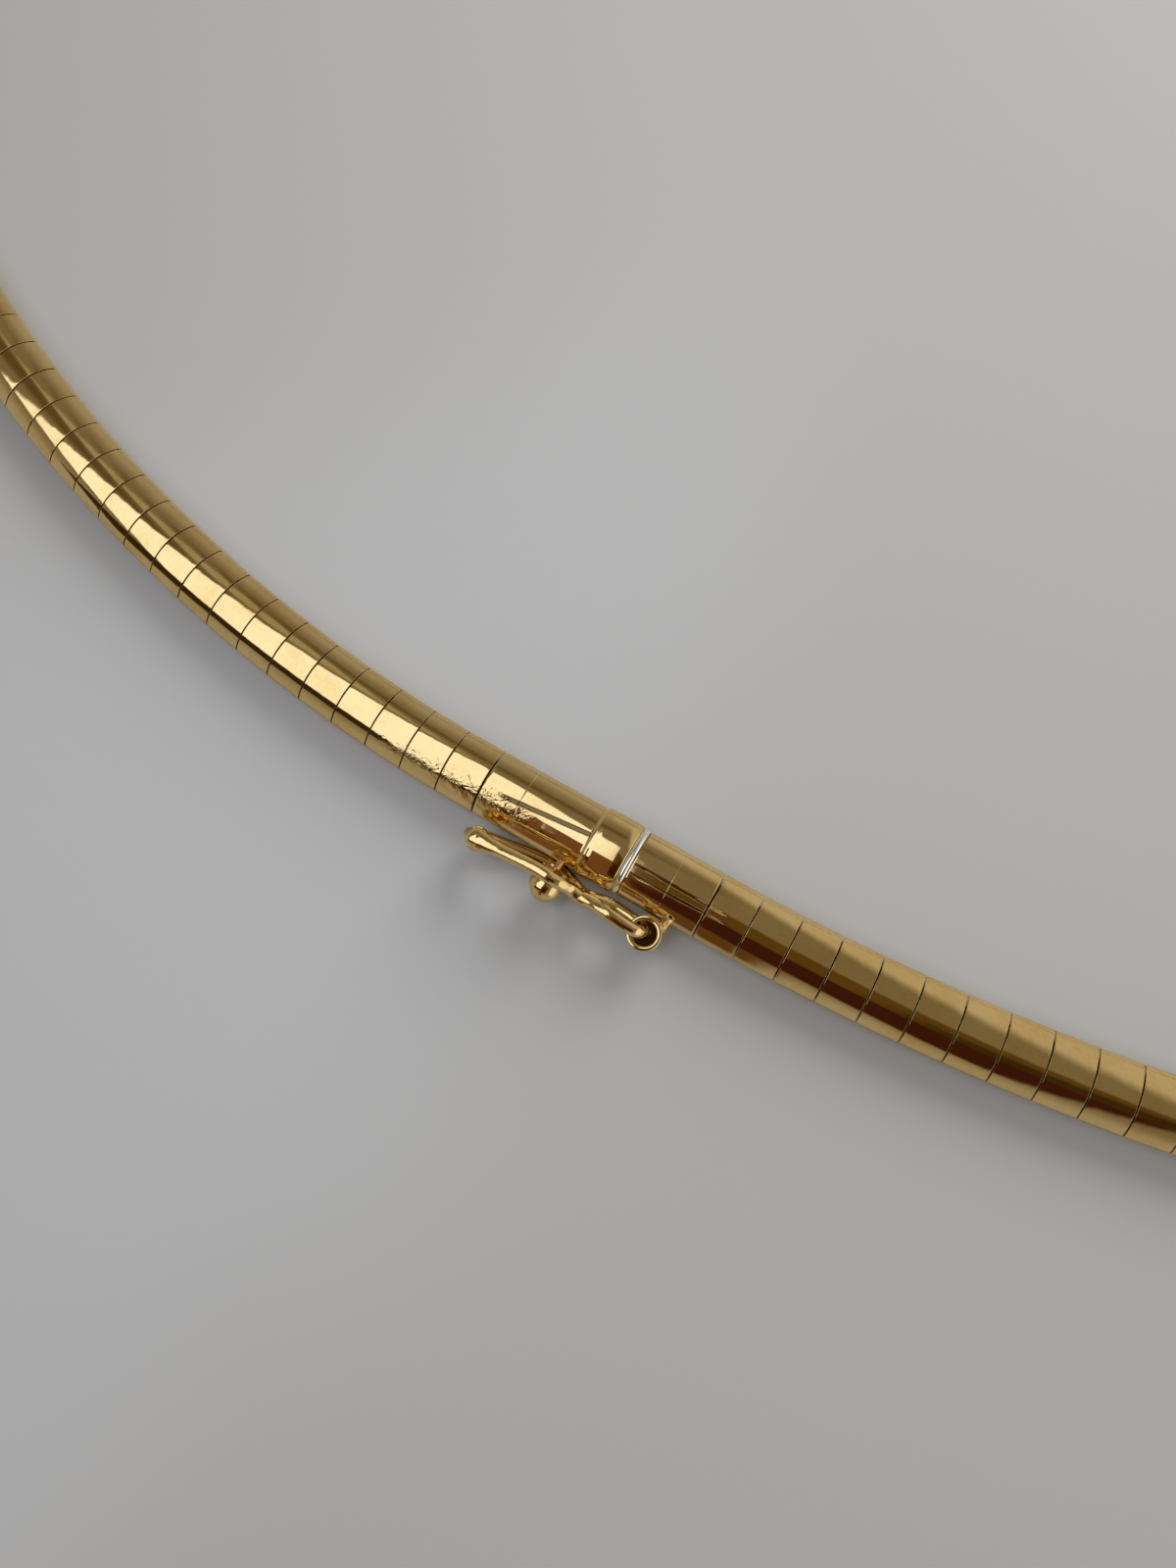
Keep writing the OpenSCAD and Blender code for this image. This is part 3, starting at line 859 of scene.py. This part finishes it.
def closedWire(rail):
    # A round wire along the rail and back along its mirror below, as a mesh
    line = bpy.data.curves.new("catchLine", "CURVE")
    line.dimensions = "3D"
    line.bevel_depth = catch["wire"] / 2 + catch["meltLoss"]
    line.bevel_resolution = 6
    spline = line.splines.new("POLY")
    loop = rail + [(x, -height) for x, height in rail[-2:0:-1]]
    spline.points.add(len(loop) - 1)
    for point, (x, height) in zip(spline.points, loop):
        point.co = (x, wireY(x, height), height + catch["z"], 1)
    spline.use_cyclic_u = True
    holder = bpy.data.objects.new("catchLine", line)
    bpy.context.scene.collection.objects.link(holder)
    bpy.context.view_layer.update()
    wire = bmesh.new()
    wire.from_mesh(holder.to_mesh())
    bpy.data.objects.remove(holder)
    return wire


def makeCatch():
    rail = upperRail()
    piece = closedWire(rail)
    bead = (catch["tipX"] + catch["endBend"], catch["endBend"])
    lumps = [(bead, catch["bead"]), ((catch["waistX"], 0.0), catch["knot"])]
    for n in range(1, catch["taperSteps"]):
        share = n / catch["taperSteps"]
        x = bead[0] + share * catch["beadTaper"]
        before, after = [pair for pair in zip(rail, rail[1:]) if pair[0][0] <= x < pair[1][0]][0]
        on = (x - before[0]) / (after[0] - before[0])
        height = before[1] + (after[1] - before[1]) * on
        if n == 1:
            height = (height + bead[1]) / 2
        swelling = (catch["bead"] - catch["wire"]) * (1 - share) ** catch["taperBend"]
        lumps.append(((x, height), catch["wire"] + swelling))
    for (x, height), size in lumps:
        bmesh.ops.create_icosphere(
            piece, subdivisions=4, radius=size / 2 + catch["meltLoss"],
            matrix=Matrix.Translation((x, wireY(x, height), height + catch["z"])))
    piece = fuse(piece, catch["voxel"], catch["rounds"])
    finishPiece(piece, "catchWire", "catch", "safety_catch", wireGold)


makeCatch()

# Floor, light and camera

stageWork = {
    "floorSize": 3.0,  # metres
    "floorColour": colour(0.575, 0.575, 0.573),
    "floorRoughness": 0.22,
}


def makeFloor():
    floorMesh = bmesh.new()
    bmesh.ops.create_grid(floorMesh, x_segments=1, y_segments=1, size=stageWork["floorSize"] / 2)
    data = bpy.data.meshes.new("floor")
    floorMesh.to_mesh(data)
    floorMesh.free()
    floor = bpy.data.objects.new("floor", data)
    bpy.context.scene.collection.objects.link(floor)
    material = bpy.data.materials.new("paleTable")
    material.use_nodes = True
    shader = material.node_tree.nodes["Principled BSDF"]
    shader.inputs["Base Color"].default_value = stageWork["floorColour"]
    shader.inputs["Roughness"].default_value = stageWork["floorRoughness"]
    data.materials.append(material)


makeFloor()

# The gold mirrors one soft surround, drawn on a map of directions: degrees from straight up, towards
# x (right) and y (up on the map). Soft cards lie on it, then a window with straight edges, then a shade.
surround = {
    "strength": 1.0,
    "pole": 0.0001,  # how near straight up the map still tells directions apart
    "backdrop": colour(0.42, 0.42, 0.42),  # what the camera sees beyond the table
    "dim": colour(0.21, 0.18, 0.13),
    "low": colour(0.37, 0.345, 0.31),
    "dimTo": (55, 85),  # degrees from straight up over which dim turns to low
    "window": colour(1.2, 1.3, 1.48),
    "windowEdges": [  # a point on each edge, and the direction that the edge faces inwards
        ((-8, 35), (0.763, -0.647)), ((-53, -18), (0.949, 0.316)), ((-45, -40), (0, 1)),
        ((-6.2, 0), (-1, 0)), ((-9, -30), (-0.943, 0.333)), ((-10, 24), (-0.894, -0.447))],
    "edgeSoftness": 0.6,
    "cards": [  # centre, half size, turn and softness in degrees, then colour
        ((-8, -48), (9, 34), 0, 3, colour(0.17, 0.08, 0.038)),
        ((-1, -62), (5, 26), 0, 3, colour(0.11, 0.055, 0.02)),
        ((9, -16), (22, 15), -20, 3, colour(0.11, 0.062, 0.015)),
        ((20, -21), (10, 8), 0, 4, colour(0.045, 0.028, 0.008)),
        ((10, -42), (17, 17), -12, 3, colour(0.045, 0.012, 0.007)),
        ((24, 66), (34, 24), -60, 6, colour(0.52, 0.48, 0.42)),
        ((-35, -47), (26, 7), 0, 1.5, colour(0.035, 0.022, 0.012)),
        ((-38, 16), (12, 9), 20, 6, colour(0.11, 0.08, 0.035)),
        ((-14, 46), (9, 5), 0, 4, colour(0.13, 0.1, 0.05)),
        ((-23, 31), (7, 5), 45, 2, colour(0.36, 0.34, 0.26)),
        ((74, 8), (24, 62), 0, 3, colour(1.0, 0.96, 0.9)),
    ],
    "shades": [  # the same, but in front of the window
        ((-8.6, -40), (2.4, 19.5), 0, 0.6, colour(0.17, 0.08, 0.038)),
    ],
}

# One soft lamp, low beyond the loop, lights the table, and no gold mirrors it. It throws the shadow
# of the clasp outside the loop, and its narrow spread keeps the table under it from glaring.
tableLamp = {
    "from": (0.12, 0.905, 0.408),
    "distance": 270.0,
    "size": 180.0,
    "spread": 80.0,
    "power": 0.13,
}


def hangTableLamp():
    data = bpy.data.lights.new("tableLamp", "AREA")
    data.shape = "DISK"
    data.size = tableLamp["size"] * mm
    data.energy = tableLamp["power"]
    data.spread = math.radians(tableLamp["spread"])
    lamp = bpy.data.objects.new("tableLamp", data)
    bpy.context.scene.collection.objects.link(lamp)
    way = Vector(tableLamp["from"])
    lamp.matrix_world = Matrix.Translation(toFrame @ (way * tableLamp["distance"])) \
        @ way.to_track_quat("Z", "Y").to_matrix().to_4x4()
    lamp.visible_glossy = False
    lamp.visible_camera = False


def lightSurround():
    world = bpy.data.worlds.new("surround")
    bpy.context.scene.world = world
    world.use_nodes = True
    tree = world.node_tree
    start = Feed(tree)
    x, y, z = start.make("ShaderNodeTexCoord", out="Generated").split()
    down = z.maths("ARCCOSINE") * math.degrees(1)
    flat = (x * x + y * y).maths("SQRT").maths("MAXIMUM", surround["pole"])
    right, up = down * x / flat, down * y / flat
    light = down.ramp(*surround["dimTo"]).tint(surround["dim"], surround["low"])

    def lay(cards, light):
        for (atX, atY), (halfLong, halfWide), degrees, soft, shown in cards:
            turn = math.radians(degrees)
            offX, offY = right - atX, up - atY
            along = (offX * math.cos(turn) + offY * math.sin(turn)).maths("ABSOLUTE")
            across = (offY * math.cos(turn) - offX * math.sin(turn)).maths("ABSOLUTE")
            mask = along.ramp(halfLong + soft, halfLong - soft) \
                * across.ramp(halfWide + soft, halfWide - soft)
            light = mask.tint(light, shown)
        return light

    light = lay(surround["cards"], light)
    pane = 1.0
    soft = surround["edgeSoftness"]
    for (atX, atY), (faceX, faceY) in surround["windowEdges"]:
        pane = ((right - atX) * faceX + (up - atY) * faceY).ramp(-soft, soft) * pane
    light = lay(surround["shades"], pane.tint(light, surround["window"]))
    seen = start.make("ShaderNodeLightPath", out="Is Camera Ray").tint(light, surround["backdrop"])
    background = tree.nodes["Background"]
    background.inputs["Strength"].default_value = surround["strength"]
    start.plug(background.inputs["Color"], seen)


lightSurround()
hangTableLamp()
print("table and lights set")

camera = {
    "lens": 28.8,
    "sensor": 36.0,
    "height": 71.0466,
    "place": (9.431, -2.706),  # over the clasp's own frame
    "tiltX": -0.1458,  # this and the next two in radians
    "tiltY": -0.1061,
    "turn": 0.504,
    "clip": (0.002, 20),  # metres
}


def setCamera():
    data = bpy.data.cameras.new("camera")
    data.lens = camera["lens"]
    data.sensor_width = camera["sensor"]
    data.sensor_fit = "AUTO"
    data.clip_start, data.clip_end = camera["clip"]
    eye = bpy.data.objects.new("camera", data)
    bpy.context.scene.collection.objects.link(eye)
    lean = Matrix.Rotation(camera["tiltY"], 3, "Y") @ Matrix.Rotation(camera["tiltX"], 3, "X")
    eye.matrix_world = (Matrix.Rotation(camera["turn"], 3, "Z") @ lean.transposed()).to_4x4()
    eye.location = toFrame @ Vector((*camera["place"], camera["height"]))
    bpy.context.scene.camera = eye


setCamera()
bpy.context.scene.view_settings.view_transform = "Standard"
print("camera set")

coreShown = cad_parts["core"].data
coreShown.materials.clear()
coreShown.materials.append(coreFinish("coreSatin"))
